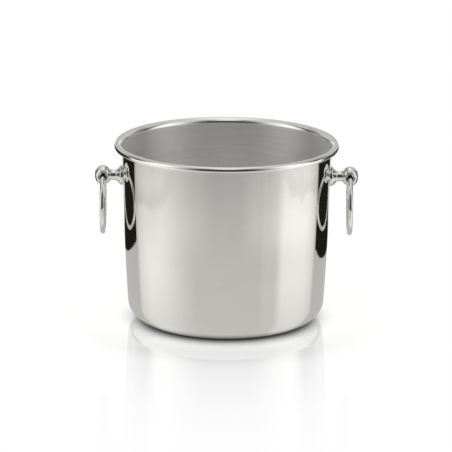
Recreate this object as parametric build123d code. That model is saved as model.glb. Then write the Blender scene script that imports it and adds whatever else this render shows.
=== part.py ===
"""Silver champagne bucket with a rolled rim and two hanging ring handles.

Millimetres, +Z up.  The origin is the middle of the base, on the surface that the bucket
stands on.  The handles point along -X (left) and +X (right).
"""

import os
from math import acos, cos, degrees, radians, sin, sqrt

from build123d import *

# Shell, spun from one round sheet.
OVERALL_HEIGHT = 185.0
RIM_RADIUS = 115.0
SHEET = 1.2
CORNER_RADIUS = 20.0
LEAN_AT_CORNER = 3.4
LEAN_AT_RIM = 1.2

# Rolled rim: the wall flares out, runs straight and rolls over into a hollow bead.
BEAD_RADIUS = 3.5
FLARE_RADIUS = 5.0
FLARE_LEAN = 45.0
FLARE_LENGTH = 1.5
ROLL_TURN = 293.0

# Base: a narrow flat ring to stand on, and a shallow raised middle.
STANDING_RING_WIDTH = 5.0
BASE_RISE = 2.0
BASE_STEP_RADIUS = 12.0

# Handles.
HANDLE_HEIGHT = 149.0
KNOB_CENTRE = 126.3
KNOB_HALF_WIDTH = 8.1
KNOB_RADIUS = 10.1
NECK_RADIUS = 5.3
KNOB_FILLET = 3.0
FLANGE_RADIUS = 10.2
FLANGE_EDGE = 1.5
FLANGE_SLOPE = 4.7
SHOULDER_RADIUS = 1.2
NECK_FILLET = 2.5
EYE_RADIUS = 3.3
EYE_ROUND = 1.5
RING_RADIUS = 29.5
RING_WIRE_RADIUS = 2.35
RING_GAP = 0.12

# How far a cutting shape, or stock that is cut off, reaches past the finished surface.
CUT_MARGIN = 3.0

# Fixing: a button-head screw through a shaped washer, the wall and a seal.
SCREW_RADIUS = 2.45
SCREW_HOLE_RADIUS = 2.5
CLEARANCE_HOLE_RADIUS = 2.75
SCREW_LENGTH = 12.0
SCREW_HOLE_DEPTH = 11.0
HEAD_RADIUS = 4.75
HEAD_HEIGHT = 2.75
HEAD_EDGE = 0.55
HEAD_FLAT_RADIUS = 2.1
SOCKET_ACROSS_FLATS = 3.0
SOCKET_DEPTH = 1.6
WASHER_RADIUS = 8.0
WASHER_THICKNESS = 1.6
SEAL_RADIUS = 6.9
SEAL_POCKET_RADIUS = 7.0
SEAL_THICKNESS = 1.2
FACE_GAP = 0.02

# Values that follow from the driving dimensions.
HEADING_AT_CORNER = 90.0 - LEAN_AT_CORNER
HEADING_AT_RIM = 90.0 - LEAN_AT_RIM
HEADING_AT_BEAD = 90.0 - FLARE_LEAN
FLARE_TOP_RADIUS = FLARE_RADIUS + SHEET


def along(heading):
    """Unit direction at an angle above the radial direction."""
    return Vector(cos(radians(heading)), sin(radians(heading)))


def wall_end():
    """Where the outside of the wall ends and the flare starts, as (radius, height)."""
    crest = Vector(RIM_RADIUS - BEAD_RADIUS, OVERALL_HEIGHT)
    bead_part = BEAD_RADIUS * (Vector(0, 1) - along(HEADING_AT_BEAD + 90))
    flare_part = FLARE_TOP_RADIUS * (along(HEADING_AT_BEAD + 90) - along(HEADING_AT_RIM + 90))
    inside = crest - bead_part - FLARE_LENGTH * along(HEADING_AT_BEAD) - flare_part
    return inside + SHEET * along(HEADING_AT_RIM - 90)


WALL_END = wall_end()
WALL_START_HEIGHT = CORNER_RADIUS * (1 - cos(radians(HEADING_AT_CORNER)))
WALL_CURVE_RADIUS = (WALL_END.Y - WALL_START_HEIGHT) / (
    cos(radians(HEADING_AT_CORNER)) - cos(radians(HEADING_AT_RIM))
)
WALL_SPREAD = WALL_CURVE_RADIUS * (sin(radians(HEADING_AT_RIM)) - sin(radians(HEADING_AT_CORNER)))
STANDING_RADIUS = WALL_END.X - WALL_SPREAD - CORNER_RADIUS * sin(radians(HEADING_AT_CORNER))
BASE_STEP_TURN = acos(1 - BASE_RISE / (2 * BASE_STEP_RADIUS))
BASE_STEP_WIDTH = 2 * BASE_STEP_RADIUS * sin(BASE_STEP_TURN)


def wall_radius(height):
    """Outside radius of the wall at a height above the corner and below the flare."""
    drop = WALL_END.Y - height
    cosine = cos(radians(HEADING_AT_RIM)) + drop / WALL_CURVE_RADIUS
    return WALL_END.X - WALL_CURVE_RADIUS * (sin(radians(HEADING_AT_RIM)) - sqrt(1 - cosine**2))


HANDLE_WALL_RADIUS = wall_radius(HANDLE_HEIGHT)


def sheet_bends():
    """Runs of the sheet's outer face from the axis to the rolled edge.

    Each is (length, 0) for a straight run, or (radius, turn) for an arc.  A positive turn
    is to the left of a walker who leaves the axis along the underside of the base.
    """
    turn = degrees(BASE_STEP_TURN)
    half_sheet = SHEET / 2
    raised_width = STANDING_RADIUS - STANDING_RING_WIDTH - BASE_STEP_WIDTH
    return [
        (raised_width, 0),
        (BASE_STEP_RADIUS - half_sheet, -turn),
        (BASE_STEP_RADIUS + half_sheet, turn),
        (STANDING_RING_WIDTH, 0),
        (CORNER_RADIUS, HEADING_AT_CORNER),
        (WALL_CURVE_RADIUS, HEADING_AT_RIM - HEADING_AT_CORNER),
        (FLARE_RADIUS, HEADING_AT_BEAD - HEADING_AT_RIM),
        (FLARE_LENGTH, 0),
        (BEAD_RADIUS - SHEET, -ROLL_TURN),
    ]


def sheet_face(depth):
    """Edges of the face that lies a given depth inside the sheet's outer face."""
    point = Vector(0, BASE_RISE + depth)
    heading = 0.0
    edges = []
    for size, turn in sheet_bends():
        if turn == 0:
            edge = Line(point, point + size * along(heading))
        else:
            radius = size - depth if turn > 0 else size + depth
            edge = JernArc(point, along(heading), radius, turn)
        edges.append(edge)
        point = edge @ 1
        heading += turn
    return edges


def turned(outline, axis):
    """Solid turned from a closed outline drawn as (radius or X, Z)."""
    face = Plane.XZ * make_face(outline)
    return revolve(face, axis, 360)


def along_x(radius, start, end):
    """Cylinder along +X at handle height, between two X positions."""
    middle = (start + end) / 2
    return Pos(middle, 0, HANDLE_HEIGHT) * Rot(0, 90, 0) * Cylinder(radius, end - start)


def wall_solid(offset):
    """Solid inside a surface that stands off the outside of the wall by an offset."""
    foot = HANDLE_HEIGHT - FLANGE_RADIUS - CUT_MARGIN
    top = HANDLE_HEIGHT + FLANGE_RADIUS + CUT_MARGIN
    low = Vector(wall_radius(foot) + offset, foot)
    middle = Vector(HANDLE_WALL_RADIUS + offset, HANDLE_HEIGHT)
    high = Vector(wall_radius(top) + offset, top)
    outline = [
        Line((0, foot), low),
        ThreePointArc(low, middle, high),
        Line(high, (0, top)),
        Line((0, top), (0, foot)),
    ]
    return turned(outline, Axis.Z)


def bucket_shell():
    """The one-piece drawn bucket, with a hole through the wall behind each handle."""
    outside = sheet_face(0)
    inside = sheet_face(SHEET)
    outline = outside + inside
    outline.append(Line(outside[0] @ 0, inside[0] @ 0))
    outline.append(Line(outside[-1] @ 1, inside[-1] @ 1))
    shell = turned(outline, Axis.Z)
    reach = HANDLE_WALL_RADIUS + CUT_MARGIN
    return shell - along_x(CLEARANCE_HOLE_RADIUS, -reach, reach)


def post_outline():
    """Half outline of the handle post, as (X, distance from its axis)."""
    back = HANDLE_WALL_RADIUS - CUT_MARGIN
    edge = HANDLE_WALL_RADIUS + FLANGE_EDGE
    cone_foot = edge + FLANGE_SLOPE
    swell = KNOB_RADIUS - KNOB_HALF_WIDTH
    knob_end = KNOB_CENTRE + KNOB_HALF_WIDTH
    fillet_height = NECK_RADIUS + KNOB_FILLET - swell
    fillet_reach = sqrt((KNOB_HALF_WIDTH + KNOB_FILLET) ** 2 - fillet_height**2)
    share = KNOB_HALF_WIDTH / (KNOB_HALF_WIDTH + KNOB_FILLET)
    neck_end = Vector(KNOB_CENTRE - fillet_reach, NECK_RADIUS)
    knob_start = Vector(KNOB_CENTRE - fillet_reach * share, swell + fillet_height * share)
    fillet_middle = Vector(neck_end.X, NECK_RADIUS + KNOB_FILLET) + KNOB_FILLET * (
        Vector(knob_start.X - neck_end.X, knob_start.Y - NECK_RADIUS - 2 * KNOB_FILLET)
    ).normalized()
    cone = FilletPolyline(
        (back, FLANGE_RADIUS),
        (edge, FLANGE_RADIUS),
        (cone_foot, NECK_RADIUS),
        neck_end,
        radius=[SHOULDER_RADIUS, NECK_FILLET],
    )
    return [
        cone,
        ThreePointArc(neck_end, fillet_middle, knob_start),
        ThreePointArc(knob_start, (KNOB_CENTRE, KNOB_RADIUS), (knob_end, swell)),
        Line((knob_end, swell), (knob_end, 0)),
        Line((knob_end, 0), (back, 0)),
        Line((back, 0), (back, FLANGE_RADIUS)),
    ]


def eye_tool():
    """Material removed for the ring's eye, across the knob along Y."""
    across = Pos(KNOB_CENTRE, 0, HANDLE_HEIGHT) * Rot(90, 0, 0)
    return across * Cylinder(EYE_RADIUS, 2 * (KNOB_RADIUS + CUT_MARGIN))


def handle_post():
    """Turned post of the right handle: saddle-backed flange, neck and drilled knob."""
    axis = Axis((0, 0, HANDLE_HEIGHT), (1, 0, 0))
    face = Plane.XZ * make_face(post_outline())
    blank = revolve(Pos(0, 0, HANDLE_HEIGHT) * face, axis, 360)
    drilled = blank - eye_tool()
    mouths = new_edges(blank, eye_tool(), combined=drilled)
    rounded = fillet(mouths, EYE_ROUND)
    seated = rounded - wall_solid(FACE_GAP)
    pocket_end = HANDLE_WALL_RADIUS + SEAL_THICKNESS
    pocket = along_x(SEAL_POCKET_RADIUS, HANDLE_WALL_RADIUS - CUT_MARGIN, pocket_end)
    hole = along_x(SCREW_HOLE_RADIUS, HANDLE_WALL_RADIUS, HANDLE_WALL_RADIUS + SCREW_HOLE_DEPTH)
    return seated - pocket - hole


def ring_drop():
    """Height of the ring wire's centre line above the eye's axis, at the middle of the eye.

    The ring rests on the eye where its straight part ends and its rounded mouths begin.
    """
    straight = sqrt((KNOB_RADIUS - EYE_ROUND) ** 2 - (EYE_RADIUS + EYE_ROUND) ** 2)
    inner = RING_RADIUS - RING_WIRE_RADIUS
    underside = sqrt(inner**2 - straight**2) - RING_RADIUS
    return RING_GAP - EYE_RADIUS - underside


def handle_ring():
    """Round wire ring of the right handle, hanging in the eye."""
    centre_height = HANDLE_HEIGHT + ring_drop() - RING_RADIUS
    return Pos(KNOB_CENTRE, 0, centre_height) * Rot(0, 90, 0) * Torus(RING_RADIUS, RING_WIRE_RADIUS)


def handle_seal():
    """Rubber seal in the flange's pocket, pressed against the outside of the wall."""
    start = HANDLE_WALL_RADIUS - CUT_MARGIN
    end = HANDLE_WALL_RADIUS + SEAL_THICKNESS - FACE_GAP
    disc = along_x(SEAL_RADIUS, start, end) - along_x(CLEARANCE_HOLE_RADIUS, start, end)
    return disc - wall_solid(FACE_GAP)


def washer_face():
    """X of the washer's flat inner face, which the screw's head sits on."""
    return HANDLE_WALL_RADIUS - SHEET - WASHER_THICKNESS


def inner_washer():
    """Shaped washer that backs the wall on the inside of the bucket."""
    start = washer_face()
    end = HANDLE_WALL_RADIUS
    disc = along_x(WASHER_RADIUS, start, end) - along_x(CLEARANCE_HOLE_RADIUS, start, end)
    return disc & wall_solid(-SHEET - FACE_GAP)


def handle_screw():
    """Button-head screw with a hexagonal socket, from inside the bucket into the post."""
    seat = washer_face() - FACE_GAP
    edge = seat - HEAD_EDGE
    top = seat - HEAD_HEIGHT
    outline = [
        Line((seat, 0), (seat, HEAD_RADIUS)),
        Line((seat, HEAD_RADIUS), (edge, HEAD_RADIUS)),
        TangentArc((top, HEAD_FLAT_RADIUS), (edge, HEAD_RADIUS), tangent=(0, 1)),
        Line((top, HEAD_FLAT_RADIUS), (top, 0)),
        Line((top, 0), (seat, 0)),
    ]
    axis = Axis((0, 0, HANDLE_HEIGHT), (1, 0, 0))
    head = revolve(Pos(0, 0, HANDLE_HEIGHT) * (Plane.XZ * make_face(outline)), axis, 360)
    socket_plane = Plane(origin=(top, 0, HANDLE_HEIGHT), x_dir=(0, 1, 0), z_dir=(1, 0, 0))
    hexagon = RegularPolygon(SOCKET_ACROSS_FLATS / 2, 6, major_radius=False)
    socket = extrude(socket_plane * hexagon, SOCKET_DEPTH)
    shank = along_x(SCREW_RADIUS, seat, seat + SCREW_LENGTH)
    return head + shank - socket


def main():
    """Write one STEP file for each separate piece of the bucket."""
    os.makedirs("parts", exist_ok=True)
    export_step(bucket_shell(), "parts/bucket_shell.step")
    handle_pieces = {
        "handle_post": handle_post(),
        "handle_ring": handle_ring(),
        "handle_seal": handle_seal(),
        "inner_washer": inner_washer(),
        "handle_screw": handle_screw(),
    }
    for name, piece in handle_pieces.items():
        export_step(piece, f"parts/right_{name}.step")
        export_step(mirror(piece, Plane.YZ), f"parts/left_{name}.step")


main()
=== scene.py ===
"""Looks of the silver champagne bucket: polished shell, ring handles, studio and camera.

Metres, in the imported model's frame: +Z up, the origin under the middle of the base, the
handles along -X and +X.
"""

from math import acos, cos, degrees, pi, radians, sin

import bmesh
import bpy
from mathutils import Matrix, Vector


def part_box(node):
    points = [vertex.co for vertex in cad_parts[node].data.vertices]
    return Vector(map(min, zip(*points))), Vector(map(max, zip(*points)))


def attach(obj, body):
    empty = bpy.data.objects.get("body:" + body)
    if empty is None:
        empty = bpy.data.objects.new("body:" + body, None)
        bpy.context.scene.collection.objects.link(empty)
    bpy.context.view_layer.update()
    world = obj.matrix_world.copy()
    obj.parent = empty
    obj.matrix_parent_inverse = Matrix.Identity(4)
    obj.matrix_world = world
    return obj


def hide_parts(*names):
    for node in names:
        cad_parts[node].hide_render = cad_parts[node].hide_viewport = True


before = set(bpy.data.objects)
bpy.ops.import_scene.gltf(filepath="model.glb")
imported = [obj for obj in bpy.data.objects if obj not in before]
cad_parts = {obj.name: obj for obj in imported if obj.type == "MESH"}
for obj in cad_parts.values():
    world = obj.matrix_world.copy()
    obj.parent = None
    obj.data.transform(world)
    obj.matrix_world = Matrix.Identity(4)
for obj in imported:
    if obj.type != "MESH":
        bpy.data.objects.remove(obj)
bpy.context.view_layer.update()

# Shell, as in the design.
SHEET = 0.0012
CORNER_RADIUS = 0.020
LEAN_AT_CORNER = 3.4
LEAN_AT_RIM = 1.2
BEAD_RADIUS = 0.0035
FLARE_RADIUS = 0.005
FLARE_LEAN = 45.0
FLARE_LENGTH = 0.0015
ROLL_TURN = 293.0
STANDING_RING_WIDTH = 0.005
BASE_RISE = 0.002
BASE_STEP_RADIUS = 0.012
SCREW_HOLE_RADIUS = 0.00275

# Fineness of the turned meshes.
SHELL_SEGMENTS = 312
HOLE_SEGMENTS = 48
RING_SEGMENTS = 256
WIRE_SEGMENTS = 56
STEP_LENGTH = 0.004
STEP_TURN = 5.0

# Camera: metres for its place, degrees for its angles, millimetres for its lens and sensor.
CAMERA_TARGET = (-0.0002, 0.0, 0.0955)
CAMERA_DISTANCE = 3.0
CAMERA_ELEVATION = 15.0
CAMERA_ROLL = 0.37
CAMERA_LENS = 232.5
CAMERA_SENSOR = 36.0
CAMERA_CLIP_START = 0.1
CAMERA_CLIP_END = 30.0

# Light bounces that the inside of the bucket needs.
LIGHT_BOUNCES = 14

# White surround and floor that only the camera sees.
BACKDROP_RADIUS = 9.0
FLOOR_RADIUS = 8.9
FLOOR_HEIGHT = -0.0002

# Floor: strength of its mirror image at the middle, and the distance over which that fades.
FLOOR_GLOSS = 0.84
FLOOR_GLOSS_REACH = 0.110

# Floor: reach and darkest level of the contact shadow, and how open a spot is that has none.
CONTACT_REACH = 0.03
CONTACT_LEVEL = 0.02
CONTACT_OPEN = 0.8

# Floor: how much the bucket's soft shadow dims it in front, and the ring in which it lies, as
# the distances where the shadow starts, is full, starts to fade, and ends. To the sides it fades
# out from the second angle to the first.
FRONT_SHADOW = 0.09
FRONT_SHADOW_RING = (0.105, 0.135, 0.145, 0.180)
FRONT_SHADOW_SIDES = (75.0, 30.0)

# The table that the metal mirrors, and the cards that lie on it.
TABLE_RADIUS = 0.80
TABLE_HEIGHT = -0.002
CARD_HEIGHT = -0.0015

# Radius of the wall that mirrors the table, and rounds to work out in which direction it does.
WALL_MIRROR_RADIUS = 0.104
BEARING_ROUNDS = 4

# Light of the table in front of the bucket and behind it, and what its far back adds.
TABLE_FRONT_LIGHT = 0.54
TABLE_BACK_LIGHT = 0.49
TABLE_FAR_BACK_LIGHT = 0.5

# Where the table's back begins, by the mirrored direction, and its far back, by distance and
# angle. At the bucket's foot the table has a painted contact shadow, and gains its light over
# the last pair.
TABLE_BACK_START = (116.0, 123.0)
FAR_BACK_START = (0.36, 0.46)
FAR_BACK_SIDES = (138.0, 156.0)
TABLE_FOOT = (0.080, 0.100)

# How that light falls off: its share at the middle, and the loss by the distance squared.
TABLE_FADE_START = 1.06
TABLE_FADE = 0.6

# Light that the table's sides add, near the bucket and far from it: rows of (first degree, last
# degree, rise). The degrees are the directions in which the wall mirrors the table, and all of
# this light fades out over SIDES_FADE. The other pairs are distances: the near light grows from
# its share at the bucket, and the far light comes in.
LEFT_RISES = [(26.0, 92.0, 0.34), (36.0, 40.0, 0.01)]
RIGHT_RISES = [(38.0, 44.0, 0.05), (56.0, 70.0, 0.27), (66.0, 84.0, 0.03)]
FAR_LEFT_RISES = [(12.0, 34.0, 0.07), (74.0, 92.0, -0.10)]
FAR_RIGHT_RISES = [(12.0, 34.0, 0.10), (46.0, 60.0, 0.09)]
SIDES_FADE = (138.0, 96.0)
NEAR_LIGHT_GROWS = (0.06, 0.30)
NEAR_LIGHT_SHARE = 0.45
FAR_LIGHT_START = (0.30, 0.48)

# Dull clouds on the table, which show high on the wall: the distance where they start, what is
# added to that on the right, towards the front and by chance, and how much light they take.
CLOUD_START = 0.455
CLOUD_FURTHER_RIGHT = 0.06
CLOUD_FURTHER_FRONT = 0.13
CLOUD_DRIFT = 0.10
CLOUD_DEPTH = 0.13

# Where the clouds come in and move away from the bucket, by the mirrored direction, and their
# profile past their edge, as the distances where they start, are full, start to fade, and end.
CLOUD_SIDES = (58.0, 78.0)
CLOUD_FRONT = (82.0, 56.0)
CLOUD_PROFILE = (0.0, 0.02, 0.02, 0.15)

# Ceiling over the metal: its level in front, and rows of (first degree, last degree, rise).
CEILING_LIGHT = 0.30
CEILING_RISES = [(20.0, 70.0, 0.28), (140.0, 172.0, 0.3)]

# Angles from the front over which the bright sides of the surroundings come in and go, and over
# which the back comes in.
SIDE_RISE = (23.0, 77.0)
SIDE_END = (107.0, 83.0)
BACK_START = (104.0, 112.0)

# Heights in degrees over which the surroundings start above the table, and the ceiling above them.
TABLE_EDGE_HEIGHT = (0.0, 4.0)
CEILING_HEIGHT = (38.0, 58.0)

# Levels of the surroundings in front and at the back.
FRONT_LIGHT = 0.05
BACK_LIGHT = 0.53

# Gap in the back's light: its depth, its band of heights, and the angles where it ends.
BACK_GAP = 0.35
BACK_GAP_BAND = (2.0, 14.0, 28.0, 44.0)
BACK_GAP_END = (138.0, 120.0)

# Brighter strip low at the back: its light, where it begins, and its top.
LOW_BACK_LIGHT = 0.4
LOW_BACK_START = (160.0, 168.0)
LOW_BACK_TOP = (9.0, 3.0)

# Dark gap beside that strip: its depth, its band of angles, and its top.
LOW_GAP = 0.45
LOW_GAP_BAND = (118.0, 126.0, 148.0, 156.0)
LOW_GAP_TOP = (9.0, 5.0)

# Under the table's level: light in front, added on the right and added at the back, and where
# the sides end and the back begins.
UNDER_FRONT_LIGHT = 0.012
UNDER_RIGHT_LIGHT = 0.08
UNDER_BACK_LIGHT = 0.93
UNDER_SIDE_END = (115.0, 109.0)
UNDER_BACK_START = (154.0, 167.0)

# Light over the camera, which the inside of the bucket catches: its strength, sides and height.
FRONT_PATCH = 0.4
FRONT_PATCH_SIDES = (30.0, 8.0)
FRONT_PATCH_HEIGHT = (48.0, 56.0)

# Strength of the light straight above, and the heights over which it comes in.
ZENITH_LIGHT = 0.85
ZENITH_HEIGHT = (66.0, 78.0)

# Glow inside, over the base, and its level at the edge.
INNER_FILL_RADIUS = 0.080
INNER_FILL_CORE = 0.016
INNER_FILL_HEIGHT = 0.008
INNER_FILL = 1.6
INNER_FILL_EDGE = 0.25

# Inside finish: depths below the top where polish ends and satin is full, and how streaky and
# hazy the satin is.
POLISH_DEPTH = 0.0040
SATIN_DEPTH = 0.0062
SATIN_STREAKS = 0.20
SATIN_HAZE = 0.20

# Faint streaks on the polished outside.
WALL_STREAKS = 0.03

# Spun lines, as their fineness up the wall and along each line.
FINE_LINES = (2600.0, 30.0)
COARSE_LINES = (700.0, 12.0)
STREAK_LINES = (420.0, 7.0)
BUMP_LINES = (900.0, 6.0)

# Fittings: painted shade in their recesses, as how close the walls of a recess are where it falls, and how
# dark it is.
RECESS_SHADE_REACH = 0.004
RECESS_SHADE_LEVEL = 0.12

# Roughness, at the smoothest and at the roughest spots.
MIRROR_ROUGHNESS = (0.035, 0.065)
STEEL_ROUGHNESS = (0.22, 0.34)
RUBBER_ROUGHNESS = (0.55, 0.75)

# Roughness of the inside where it is polished, and what satin adds to it.
LINING_ROUGHNESS = 0.08
SATIN_ROUGHNESS = (0.56, 0.66)

# Part of a noise's range over which a surface changes.
NOISE_RANGE = (0.3, 0.7)

# Colours of the metal and the rubber.
SILVER = (0.905, 0.9, 0.872, 1.0)
SATIN_SILVER = (0.99, 0.983, 0.955, 1.0)
STEEL = (0.62, 0.61, 0.59, 1.0)
RUBBER = (0.02, 0.02, 0.021, 1.0)


# ---------------------------------------------------------------- meshes


def heading_vector(heading):
    """Unit vector in the (radius, height) plane at an angle above the radius."""
    return Vector((cos(radians(heading)), sin(radians(heading))))


def sheet_bends(rim_radius, height):
    """Runs of the sheet's outer face, as (length or radius, turn), and the start's height."""
    corner_heading = 90.0 - LEAN_AT_CORNER
    rim_heading = 90.0 - LEAN_AT_RIM
    bead_heading = 90.0 - FLARE_LEAN
    bead = BEAD_RADIUS * (heading_vector(90) - heading_vector(bead_heading + 90))
    flare_radius = FLARE_RADIUS + SHEET
    flare = flare_radius * (heading_vector(bead_heading + 90) - heading_vector(rim_heading + 90))
    crest = Vector((rim_radius - BEAD_RADIUS, height))
    flare_foot = crest - bead - FLARE_LENGTH * heading_vector(bead_heading) - flare
    wall_end = flare_foot + SHEET * heading_vector(rim_heading - 90)
    wall_start = CORNER_RADIUS * (1 - cos(radians(corner_heading)))
    wall_curve = (wall_end.y - wall_start) / (cos(radians(corner_heading)) - cos(radians(rim_heading)))
    spread = wall_curve * (sin(radians(rim_heading)) - sin(radians(corner_heading)))
    standing_radius = wall_end.x - spread - CORNER_RADIUS * sin(radians(corner_heading))
    step_turn = acos(1 - BASE_RISE / (2 * BASE_STEP_RADIUS))
    step_width = 2 * BASE_STEP_RADIUS * sin(step_turn)
    return [
        (standing_radius - STANDING_RING_WIDTH - step_width, 0),
        (BASE_STEP_RADIUS - SHEET / 2, -degrees(step_turn)),
        (BASE_STEP_RADIUS + SHEET / 2, degrees(step_turn)),
        (STANDING_RING_WIDTH, 0),
        (CORNER_RADIUS, corner_heading),
        (wall_curve, rim_heading - corner_heading),
        (FLARE_RADIUS, bead_heading - rim_heading),
        (FLARE_LENGTH, 0),
        (BEAD_RADIUS - SHEET, -ROLL_TURN),
    ]


def sheet_face(bends, depth):
    """Points (radius, height) along the face that lies a depth inside the outer face."""
    point = Vector((0, BASE_RISE + depth))
    heading = 0.0
    points = [point.copy()]
    for size, turn in bends:
        if turn == 0:
            steps = max(2, round(size / STEP_LENGTH))
            for _ in range(steps):
                point = point + heading_vector(heading) * (size / steps)
                points.append(point.copy())
            continue
        radius = size - depth if turn > 0 else size + depth
        side = 1 if turn > 0 else -1
        centre = point + side * radius * heading_vector(heading + 90)
        length = radius * abs(radians(turn))
        steps = max(2, round(length / STEP_LENGTH), round(abs(turn) / STEP_TURN))
        for step in range(1, steps + 1):
            angle = heading + turn * step / steps
            points.append(centre - side * radius * heading_vector(angle + 90))
        point = points[-1].copy()
        heading += turn
    return points


def lathe(bm, points, segments, material, axis_point=False):
    """Turns (radius, height) points about Z and returns the rings of vertices."""
    rings = []
    for index, point in enumerate(points):
        if axis_point and index == 0:
            rings.append([bm.verts.new((0, 0, point.y))])
            continue
        ring = []
        for segment in range(segments):
            angle = 2 * pi * segment / segments
            ring.append(bm.verts.new((point.x * cos(angle), point.x * sin(angle), point.y)))
        rings.append(ring)
    for low, high in zip(rings, rings[1:]):
        bridge(bm, low, high, material)
    return rings


def bridge(bm, low, high, material):
    """Faces between two rings of vertices; the first ring may be a single vertex."""
    count = len(high)
    for segment in range(count):
        after = (segment + 1) % count
        if len(low) == 1:
            corners = (low[0], high[after], high[segment])
        else:
            corners = (low[segment], low[after], high[after], high[segment])
        face = bm.faces.new(corners)
        face.material_index = material
        face.smooth = True


def finish_mesh(name, bm, materials):
    """Object made from a bmesh, with its faces turned outwards."""
    bmesh.ops.recalc_face_normals(bm, faces=bm.faces)
    mesh = bpy.data.meshes.new(name)
    bm.to_mesh(mesh)
    bm.free()
    for material in materials:
        mesh.materials.append(material)
    piece = bpy.data.objects.new(name, mesh)
    bpy.context.scene.collection.objects.link(piece)
    return piece


def drill(piece, radius, centre, length):
    """Cuts a round hole along X through a piece."""
    bm = bmesh.new()
    bmesh.ops.create_cone(
        bm, cap_ends=True, segments=HOLE_SEGMENTS, radius1=radius, radius2=radius, depth=length,
        matrix=Matrix.Translation(centre) @ Matrix.Rotation(pi / 2, 4, "Y"),
    )
    tool = finish_mesh("hole_tool", bm, [])
    cut = piece.modifiers.new("hole", "BOOLEAN")
    cut.object = tool
    cut.operation = "DIFFERENCE"
    cut.solver = "EXACT"
    bake_modifiers(piece)
    bpy.data.objects.remove(tool)


def bake_modifiers(piece):
    """Replaces a piece's mesh by what its modifiers make of it."""
    graph = bpy.context.evaluated_depsgraph_get()
    made = bpy.data.meshes.new_from_object(piece.evaluated_get(graph))
    piece.modifiers.clear()
    piece.data = made


def bucket_shell(polish, lining):
    """The shell, with a polished outside and rim and its own finish inside."""
    low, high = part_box("bucket_shell")
    bends = sheet_bends(high.x, high.z)
    outside = sheet_face(bends, 0.0)
    inside = sheet_face(bends, SHEET)
    bm = bmesh.new()
    inside_top = high.z - BEAD_RADIUS * (1 - cos(radians(FLARE_LEAN)))
    outer_rings = lathe(bm, outside, SHELL_SEGMENTS, 0, axis_point=True)
    inner_rings = lathe(bm, inside, SHELL_SEGMENTS, 0, axis_point=True)
    bridge(bm, outer_rings[-1], inner_rings[-1], 0)
    bm.faces.ensure_lookup_table()
    inner_vertices = {vertex for ring in inner_rings for vertex in ring}
    for face in bm.faces:
        if face.calc_center_median().z < inside_top and all(v in inner_vertices for v in face.verts):
            face.material_index = 1
    piece = finish_mesh("bucket_shell_polished", bm, [polish, lining])
    post_low, post_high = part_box("right_handle_post")
    hole_centre = Vector((0, 0, (post_low.z + post_high.z) / 2))
    drill(piece, SCREW_HOLE_RADIUS, hole_centre, 2 * high.x)
    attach(piece, "bucket")
    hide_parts("bucket_shell")


def handle_ring(side, material):
    """Round wire ring, turned finely enough to mirror its surroundings."""
    low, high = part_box(f"{side}_handle_ring")
    centre = (low + high) / 2
    wire = (high.x - low.x) / 2
    radius = (high.z - low.z) / 2 - wire
    bm = bmesh.new()
    rings = []
    for segment in range(RING_SEGMENTS):
        angle = 2 * pi * segment / RING_SEGMENTS
        ring = []
        for step in range(WIRE_SEGMENTS):
            around = 2 * pi * step / WIRE_SEGMENTS
            out = radius + wire * cos(around)
            ring.append(bm.verts.new((wire * sin(around), out * cos(angle), out * sin(angle))))
        rings.append(ring)
    for segment in range(RING_SEGMENTS):
        bridge(bm, rings[segment], rings[(segment + 1) % RING_SEGMENTS], 0)
    bmesh.ops.translate(bm, verts=bm.verts, vec=centre)
    piece = finish_mesh(f"{side}_handle_ring_polished", bm, [material])
    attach(piece, f"{side}_ring")
    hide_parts(f"{side}_handle_ring")


# ---------------------------------------------------------------- node helpers


class Graph:
    """Short calls for building a node tree."""

    def __init__(self, tree):
        self.tree = tree
        tree.nodes.clear()

    def node(self, kind, inputs=None, **settings):
        """New node; inputs are numbers, colours or other nodes' outputs."""
        made = self.tree.nodes.new(kind)
        for name, value in settings.items():
            setattr(made, name, value)
        for name, value in (inputs or {}).items():
            self.feed(made.inputs[name], value)
        return made

    def feed(self, socket, value):
        """Links an output to a socket, or sets the socket to a value."""
        if isinstance(value, bpy.types.NodeSocket):
            self.tree.links.new(value, socket)
        else:
            socket.default_value = value

    def math(self, operation, *values):
        """Output of a math node."""
        made = self.node("ShaderNodeMath", operation=operation)
        for socket, value in zip(made.inputs, values):
            self.feed(socket, value)
        return made.outputs[0]

    def step(self, value, start, end, low=0.0, high=1.0):
        """Smooth change from low to high as a value goes from start to end."""
        made = self.node("ShaderNodeMapRange", interpolation_type="SMOOTHSTEP")
        for name, given in zip(("Value", "From Min", "From Max", "To Min", "To Max"),
                               (value, start, end, low, high)):
            self.feed(made.inputs[name], given)
        return made.outputs["Result"]

    def band(self, value, start, full, fading, end):
        """1 from full to fading, and smoothly 0 before start and after end."""
        return self.product(self.step(value, start, full), self.step(value, end, fading))

    def rises(self, value, level, rows):
        """A level, raised by each row's rise as a value goes from its first to its last."""
        steps = [self.step(value, first, last, 0.0, rise) for first, last, rise in rows]
        return self.total(level, *steps)

    def blend(self, share, without, whole):
        """One value where the share is 0, and the other where it is 1."""
        rest = self.math("SUBTRACT", 1.0, share)
        return self.total(self.product(without, rest), self.product(whole, share))

    def total(self, *values):
        """Sum of several values."""
        result = values[0]
        for value in values[1:]:
            result = self.math("ADD", result, value)
        return result

    def product(self, *values):
        """Product of several values."""
        result = values[0]
        for value in values[1:]:
            result = self.math("MULTIPLY", result, value)
        return result

    def polar(self, vector):
        """Distance from Z, angle in degrees from the front, and height of a vector."""
        split = self.node("ShaderNodeSeparateXYZ", {"Vector": vector})
        x, y, z = split.outputs
        distance = self.math("SQRT", self.total(self.product(x, x), self.product(y, y)))
        side = self.math("ABSOLUTE", x)
        angle = self.math("ARCTAN2", side, self.math("MULTIPLY", y, -1.0))
        return distance, self.product(angle, 180 / pi), z


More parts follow.
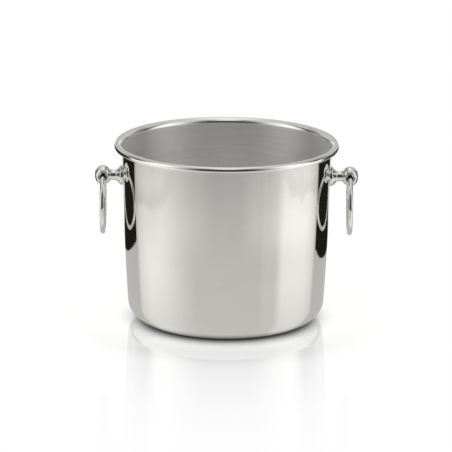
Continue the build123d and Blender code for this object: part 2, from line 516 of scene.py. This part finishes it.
def material_graph(name):
    """New node material and its empty graph."""
    material = bpy.data.materials.new(name)
    material.use_nodes = True
    return material, Graph(material.node_tree)


def spun_lines(graph, fineness, stretch):
    """Height of fine rings round the Z axis, broken up along their length."""
    place = graph.node("ShaderNodeTexCoord").outputs["Object"]
    distance, _, height = graph.polar(place)
    split = graph.node("ShaderNodeSeparateXYZ", {"Vector": place})
    along = graph.node("ShaderNodeCombineXYZ", {
        "X": graph.product(split.outputs[0], stretch),
        "Y": graph.product(split.outputs[1], stretch),
        "Z": graph.product(graph.total(height, graph.product(distance, 0.9)), fineness),
    }).outputs[0]
    noise = graph.node("ShaderNodeTexNoise", {
        "Vector": along, "Scale": 1.0, "Detail": 4.0, "Roughness": 0.65,
    })
    return noise.outputs["Fac"]


def polished_silver(name="polished_silver", lines=True):
    """Mirror-polished silver with faint spun lines and slight clouding.

    The fittings have no spun lines, and have painted shade darkening their recesses.
    """
    material, graph = material_graph(name)
    place = graph.node("ShaderNodeTexCoord").outputs["Object"]
    cloud = graph.node("ShaderNodeTexNoise", {"Vector": place, "Scale": 26.0, "Detail": 3.0})
    roughness = graph.step(cloud.outputs["Fac"], 0.35, 0.7, *MIRROR_ROUGHNESS)
    shade = graph.step(cloud.outputs["Fac"], 0.3, 0.75, 1.0, 0.975)
    colour = graph.node("ShaderNodeMix", {"Factor": 1.0}, data_type="RGBA", blend_type="MULTIPLY")
    graph.feed(colour.inputs["A"], SILVER)
    surface = graph.node("ShaderNodeBsdfPrincipled", {
        "Base Color": colour.outputs["Result"], "Metallic": 1.0, "Roughness": roughness,
    })
    if lines:
        streaks = graph.product(graph.math("SUBTRACT", spun_lines(graph, *STREAK_LINES), 0.5), WALL_STREAKS)
        streaks_and_painted_shade = graph.total(1.0, streaks)
        bump = graph.node("ShaderNodeBump", {
            "Strength": 0.05, "Distance": 0.0002, "Height": spun_lines(graph, *BUMP_LINES),
        })
        graph.feed(surface.inputs["Normal"], bump.outputs["Normal"])
    else:
        # Painted shade: the fittings' colour is darkened where the walls of a recess are close.
        open_to = graph.node("ShaderNodeAmbientOcclusion", {"Distance": RECESS_SHADE_REACH}, samples=8)
        streaks_and_painted_shade = graph.step(open_to.outputs["AO"], 0.10, 0.45, RECESS_SHADE_LEVEL, 1.0)
    graph.feed(colour.inputs["B"], graph.product(shade, streaks_and_painted_shade))
    graph.node("ShaderNodeOutputMaterial", {"Surface": surface.outputs[0]})
    return material


def inside_silver():
    """Inside of the bucket: polished on the flared rim, and spun satin below it."""
    material, graph = material_graph("inside_silver")
    place = graph.node("ShaderNodeTexCoord").outputs["Object"]
    height = graph.node("ShaderNodeSeparateXYZ", {"Vector": place}).outputs[2]
    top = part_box("bucket_shell")[1].z
    satin = graph.step(height, top - POLISH_DEPTH, top - SATIN_DEPTH)
    fine = spun_lines(graph, *FINE_LINES)
    coarse = spun_lines(graph, *COARSE_LINES)
    shade = graph.total(
        1.0, graph.product(satin, graph.math("SUBTRACT", graph.total(fine, coarse), 1.0), SATIN_STREAKS),
    )
    colour = graph.node("ShaderNodeMix", {"Factor": 1.0}, data_type="RGBA", blend_type="MULTIPLY")
    graph.feed(colour.inputs["A"], SATIN_SILVER)
    graph.feed(colour.inputs["B"], shade)
    tangent = graph.node("ShaderNodeTangent", direction_type="RADIAL", axis="Z")
    bump = graph.node("ShaderNodeBump", {
        "Strength": graph.product(satin, 0.25), "Distance": 0.0003, "Height": graph.total(fine, coarse),
    })
    satin_roughness = graph.step(coarse, *NOISE_RANGE, *SATIN_ROUGHNESS)
    surface = graph.node("ShaderNodeBsdfPrincipled", {
        "Base Color": colour.outputs["Result"],
        "Metallic": graph.math("SUBTRACT", 1.0, graph.product(satin, SATIN_HAZE)),
        "Roughness": graph.total(LINING_ROUGHNESS, graph.product(satin, satin_roughness)),
        "Anisotropic": satin,
        "Anisotropic Rotation": 0.25,
        "Tangent": tangent.outputs[0],
        "Normal": bump.outputs["Normal"],
    })
    graph.node("ShaderNodeOutputMaterial", {"Surface": surface.outputs[0]})
    return material


def satin_steel():
    """Bead-blasted look of the screws and washers."""
    material, graph = material_graph("satin_steel")
    place = graph.node("ShaderNodeTexCoord").outputs["Object"]
    grain = graph.node("ShaderNodeTexNoise", {"Vector": place, "Scale": 1800.0, "Detail": 3.0})
    bump = graph.node("ShaderNodeBump", {
        "Strength": 0.2, "Distance": 0.0001, "Height": grain.outputs["Fac"],
    })
    surface = graph.node("ShaderNodeBsdfPrincipled", {
        "Base Color": STEEL,
        "Metallic": 1.0,
        "Roughness": graph.step(grain.outputs["Fac"], *NOISE_RANGE, *STEEL_ROUGHNESS),
        "Normal": bump.outputs["Normal"],
    })
    graph.node("ShaderNodeOutputMaterial", {"Surface": surface.outputs[0]})
    return material


def seal_rubber():
    """Matt black rubber of the seals."""
    material, graph = material_graph("seal_rubber")
    place = graph.node("ShaderNodeTexCoord").outputs["Object"]
    grain = graph.node("ShaderNodeTexNoise", {"Vector": place, "Scale": 900.0, "Detail": 2.0})
    bump = graph.node("ShaderNodeBump", {
        "Strength": 0.3, "Distance": 0.0001, "Height": grain.outputs["Fac"],
    })
    surface = graph.node("ShaderNodeBsdfPrincipled", {
        "Base Color": RUBBER,
        "Roughness": graph.step(grain.outputs["Fac"], *NOISE_RANGE, *RUBBER_ROUGHNESS),
        "Normal": bump.outputs["Normal"],
    })
    graph.node("ShaderNodeOutputMaterial", {"Surface": surface.outputs[0]})
    return material


# ---------------------------------------------------------------- studio


def show_only_to(thing, camera=False, glossy=False):
    """Limits which rays see a stage object."""
    thing.visible_camera = camera
    thing.visible_glossy = glossy
    thing.visible_diffuse = False
    thing.visible_transmission = False
    thing.visible_volume_scatter = False
    thing.visible_shadow = False


def disc(name, radius, height, material, segments=96):
    """Flat round stage object."""
    bm = bmesh.new()
    bmesh.ops.create_circle(bm, cap_ends=True, segments=segments, radius=radius)
    bmesh.ops.translate(bm, verts=bm.verts, vec=(0, 0, height))
    piece = finish_mesh(name, bm, [material])
    return piece


def emission(name, colour, strength=1.0):
    """Plain glowing material for the stage."""
    material, graph = material_graph(name)
    glow = graph.node("ShaderNodeEmission", {"Color": colour, "Strength": strength})
    graph.node("ShaderNodeOutputMaterial", {"Surface": glow.outputs[0]})
    return material


def backdrop():
    """White surround that only the camera sees."""
    bm = bmesh.new()
    bmesh.ops.create_icosphere(bm, subdivisions=4, radius=BACKDROP_RADIUS)
    dome = finish_mesh("backdrop", bm, [emission("backdrop_white", (1, 1, 1, 1))])
    show_only_to(dome, camera=True)


def pale_floor():
    """White table top that the camera sees, with its shadows and a mirror image that fades."""
    material, graph = material_graph("pale_floor")
    distance, angle, _ = graph.polar(graph.node("ShaderNodeTexCoord").outputs["Object"])
    near = graph.node("ShaderNodeAmbientOcclusion", {"Distance": CONTACT_REACH}, samples=16)
    contact = graph.step(near.outputs["AO"], 0.0, CONTACT_OPEN, CONTACT_LEVEL, 1.0)
    in_front = graph.product(graph.band(distance, *FRONT_SHADOW_RING), graph.step(angle, *FRONT_SHADOW_SIDES))
    shade = graph.math("SUBTRACT", contact, graph.product(in_front, FRONT_SHADOW))
    fall = graph.math("EXPONENT", graph.product(distance, -1 / FLOOR_GLOSS_REACH))
    gloss = graph.product(fall, FLOOR_GLOSS)
    glow = graph.node("ShaderNodeEmission", {"Strength": shade})
    mirror = graph.node("ShaderNodeBsdfGlossy", {"Color": (1, 1, 1, 1), "Roughness": 0.0})
    mixed = graph.node("ShaderNodeMixShader", {"Fac": gloss})
    graph.feed(mixed.inputs[1], glow.outputs[0])
    graph.feed(mixed.inputs[2], mirror.outputs[0])
    graph.node("ShaderNodeOutputMaterial", {"Surface": mixed.outputs[0]})
    floor = disc("floor", FLOOR_RADIUS, FLOOR_HEIGHT, material)
    show_only_to(floor, camera=True)


def wall_bearing(graph, distance, angle):
    """Direction in degrees in which the wall, as seen from the front, mirrors a spot on the table."""
    ratio = graph.math("DIVIDE", WALL_MIRROR_RADIUS, distance)
    half = graph.product(angle, 0.5)
    for _ in range(BEARING_ROUNDS):
        bend = graph.math("ARCSINE", graph.product(ratio, graph.math("SINE", graph.product(half, pi / 180))))
        half = graph.product(graph.total(angle, graph.product(bend, 180 / pi)), 0.5)
    return graph.product(half, 2.0)


def table_sides(graph, bearing, distance, on_right):
    """Light that the sides of the table add."""
    near = graph.product(
        graph.blend(on_right, graph.rises(bearing, 0.0, LEFT_RISES), graph.rises(bearing, 0.0, RIGHT_RISES)),
        graph.step(distance, *NEAR_LIGHT_GROWS, NEAR_LIGHT_SHARE, 1.0),
    )
    far = graph.product(
        graph.blend(
            on_right, graph.rises(bearing, 0.0, FAR_LEFT_RISES), graph.rises(bearing, 0.0, FAR_RIGHT_RISES),
        ),
        graph.step(distance, *FAR_LIGHT_START),
    )
    return graph.product(graph.total(near, far), graph.step(bearing, *SIDES_FADE))


def table_clouds(graph, place, bearing, distance, on_right):
    """Light that the clouds on the table take away, with a sharp edge on the bucket's side."""
    drift = graph.node("ShaderNodeTexNoise", {"Vector": place, "Scale": 9.0, "Detail": 0.5})
    edge = graph.total(
        CLOUD_START, graph.step(bearing, *CLOUD_FRONT, 0.0, CLOUD_FURTHER_FRONT),
        graph.product(on_right, CLOUD_FURTHER_RIGHT), graph.product(drift.outputs["Fac"], CLOUD_DRIFT),
    )
    past_edge = graph.math("SUBTRACT", distance, edge)
    cloud = graph.product(graph.step(bearing, *CLOUD_SIDES), graph.band(past_edge, *CLOUD_PROFILE))
    return graph.product(cloud, -CLOUD_DEPTH)


def reflected_floor():
    """Table top as the metal sees it: bright at the sides, duller at the back and far away."""
    material, graph = material_graph("reflected_floor")
    place = graph.node("ShaderNodeTexCoord").outputs["Object"]
    distance, angle, _ = graph.polar(place)
    split = graph.node("ShaderNodeSeparateXYZ", {"Vector": place})
    on_right = graph.math("GREATER_THAN", split.outputs[0], 0.0)
    bearing = wall_bearing(graph, distance, angle)
    front = graph.total(
        TABLE_FRONT_LIGHT, table_sides(graph, bearing, distance, on_right),
        table_clouds(graph, place, bearing, distance, on_right),
    )
    at_back = graph.step(bearing, *TABLE_BACK_START)
    far_back = graph.product(
        at_back, graph.step(distance, *FAR_BACK_START), graph.step(angle, *FAR_BACK_SIDES),
    )
    level = graph.total(
        graph.blend(at_back, front, TABLE_BACK_LIGHT), graph.product(far_back, TABLE_FAR_BACK_LIGHT),
    )
    fade = graph.math("SUBTRACT", TABLE_FADE_START, graph.product(distance, distance, TABLE_FADE))
    # Painted contact shadow: the table's light is dimmed near the bucket's foot.
    contact = graph.step(distance, *TABLE_FOOT, CONTACT_LEVEL, 1.0)
    strength = graph.product(level, graph.math("MAXIMUM", fade, 0.0), contact)
    glow = graph.node("ShaderNodeEmission", {"Color": (1.0, 0.995, 0.97, 1.0), "Strength": strength})
    graph.node("ShaderNodeOutputMaterial", {"Surface": glow.outputs[0]})
    floor = disc("reflected_floor", TABLE_RADIUS, TABLE_HEIGHT, material)
    show_only_to(floor, glossy=True)


def inner_fill():
    """Soft glow over the inside of the base that shows only in the metal."""
    material, graph = material_graph("inner_fill")
    distance, _, _ = graph.polar(graph.node("ShaderNodeTexCoord").outputs["Object"])
    strength = graph.step(distance, INNER_FILL_RADIUS, INNER_FILL_CORE, INNER_FILL_EDGE, INNER_FILL)
    glow = graph.node("ShaderNodeEmission", {"Strength": strength})
    graph.node("ShaderNodeOutputMaterial", {"Surface": glow.outputs[0]})
    fill = disc("inner_fill", INNER_FILL_RADIUS, INNER_FILL_HEIGHT, material)
    show_only_to(fill, glossy=True)


def dark_card(name, corners, material):
    """Black card that lies on the table and shows only in the metal."""
    bm = bmesh.new()
    bm.faces.new([bm.verts.new((x, y, CARD_HEIGHT)) for x, y in corners])
    card = finish_mesh(name, bm, [material])
    show_only_to(card, glossy=True)


def dark_cards():
    """Black cards behind the bucket, one on each side."""
    black = emission("card_black", (0.012, 0.012, 0.009, 1.0))
    left = [
        (-0.345, 0.108), (-0.187, 0.229), (-0.132, 0.266), (-0.28, 0.44), (-0.34, 0.60), (-0.40, 0.69),
        (-0.75, 0.35),
    ]
    right = [
        (0.322, 0.094), (0.262, 0.129), (0.181, 0.222), (0.127, 0.279), (0.28, 0.44), (0.34, 0.60),
        (0.40, 0.69), (0.75, 0.35),
    ]
    dark_card("left_card", left, black)
    dark_card("right_card", right, black)


def light_around(graph, angle, elevation):
    """Light of the surroundings round the bucket, up to the ceiling."""
    at_back = graph.step(angle, *BACK_START)
    gap = graph.product(graph.band(elevation, *BACK_GAP_BAND), graph.step(angle, *BACK_GAP_END))
    back = graph.product(at_back, graph.math("SUBTRACT", BACK_LIGHT, graph.product(gap, BACK_GAP)))
    low_back = graph.product(graph.step(angle, *LOW_BACK_START), graph.step(elevation, *LOW_BACK_TOP))
    low_gap = graph.product(graph.band(angle, *LOW_GAP_BAND), graph.step(elevation, *LOW_GAP_TOP))
    return graph.total(
        graph.product(graph.math("SUBTRACT", 1.0, at_back), FRONT_LIGHT),
        graph.product(graph.step(angle, *SIDE_RISE), graph.step(angle, *SIDE_END)),
        back, graph.product(low_back, LOW_BACK_LIGHT), graph.product(low_gap, -LOW_GAP),
    )


def light_overhead(graph, angle, elevation):
    """Light of the ceiling, with a patch over the camera and another straight above."""
    patch = graph.product(
        graph.step(angle, *FRONT_PATCH_SIDES), graph.step(elevation, *FRONT_PATCH_HEIGHT), FRONT_PATCH,
    )
    ceiling = graph.total(graph.rises(angle, CEILING_LIGHT, CEILING_RISES), patch)
    return graph.blend(graph.step(elevation, *ZENITH_HEIGHT), ceiling, ZENITH_LIGHT)


def light_below(graph, angle, direction):
    """Light of the surroundings under the table's level, past its edge."""
    split = graph.node("ShaderNodeSeparateXYZ", {"Vector": direction})
    on_right = graph.math("GREATER_THAN", split.outputs[0], 0.0)
    return graph.total(
        UNDER_FRONT_LIGHT,
        graph.product(graph.step(angle, *SIDE_RISE), graph.step(angle, *UNDER_SIDE_END)),
        graph.product(on_right, graph.step(angle, *BACK_START), UNDER_RIGHT_LIGHT),
        graph.step(angle, *UNDER_BACK_START, 0.0, UNDER_BACK_LIGHT),
    )


def studio_world():
    """Surroundings that the metal mirrors: bright sides, a duller back, and dark gaps between.

    The floor's own mirror image has a plain white surround in their place.
    """
    world = bpy.data.worlds.new("studio")
    world.use_nodes = True
    graph = Graph(world.node_tree)
    direction = graph.node("ShaderNodeTexCoord").outputs["Generated"]
    flat, angle, height = graph.polar(direction)
    elevation = graph.product(graph.math("ARCTAN2", height, flat), 180 / pi)
    above = graph.blend(
        graph.step(elevation, *CEILING_HEIGHT),
        light_around(graph, angle, elevation), light_overhead(graph, angle, elevation),
    )
    over_table = graph.step(elevation, *TABLE_EDGE_HEIGHT)
    surroundings = graph.blend(over_table, light_below(graph, angle, direction), above)
    in_floor = graph.node("ShaderNodeLightPath").outputs["Is Singular Ray"]
    strength = graph.blend(in_floor, surroundings, 1.0)
    sky = graph.node("ShaderNodeBackground", {"Color": (1.0, 0.997, 0.98, 1.0), "Strength": strength})
    graph.node("ShaderNodeOutputWorld", {"Surface": sky.outputs[0]})
    bpy.context.scene.world = world


def camera():
    """Long lens in front of the bucket, looking slightly down, tipped a little clockwise."""
    data = bpy.data.cameras.new("camera")
    data.lens = CAMERA_LENS
    data.sensor_width = CAMERA_SENSOR
    data.clip_start = CAMERA_CLIP_START
    data.clip_end = CAMERA_CLIP_END
    elevation = radians(CAMERA_ELEVATION)
    back = Vector((0, -cos(elevation), sin(elevation)))
    holder = bpy.data.objects.new("camera", data)
    holder.location = Vector(CAMERA_TARGET) + CAMERA_DISTANCE * back
    holder.rotation_mode = "QUATERNION"
    aim = (-back).to_track_quat("-Z", "Y")
    tip = Matrix.Rotation(radians(CAMERA_ROLL), 4, "Z").to_quaternion()
    holder.rotation_quaternion = aim @ tip
    bpy.context.scene.collection.objects.link(holder)
    bpy.context.scene.camera = holder


def deep_reflections():
    """Lets light bounce often enough inside the bucket."""
    bpy.context.scene.cycles.max_bounces = LIGHT_BOUNCES
    bpy.context.scene.cycles.glossy_bounces = LIGHT_BOUNCES


def colours_as_lit():
    """Shows the light levels as they are, so that white stays white."""
    settings = bpy.context.scene.view_settings
    settings.view_transform = "Standard"
    settings.look = "None"
    settings.exposure = 0.0
    settings.gamma = 1.0


def dress_cad_nodes(materials):
    """Gives each carried-over CAD node its material."""
    for name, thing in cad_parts.items():
        for ending, material in materials.items():
            if name.endswith(ending):
                thing.data.materials.clear()
                thing.data.materials.append(material)


camera()
colours_as_lit()
deep_reflections()
polish = polished_silver()
fittings = polished_silver("polished_fittings", lines=False)
steel = satin_steel()
bucket_shell(polish, inside_silver())
for side in ("left", "right"):
    handle_ring(side, fittings)
dress_cad_nodes({
    "handle_post": fittings,
    "handle_seal": seal_rubber(),
    "inner_washer": steel,
    "handle_screw": steel,
})
backdrop()
pale_floor()
reflected_floor()
inner_fill()
dark_cards()
studio_world()
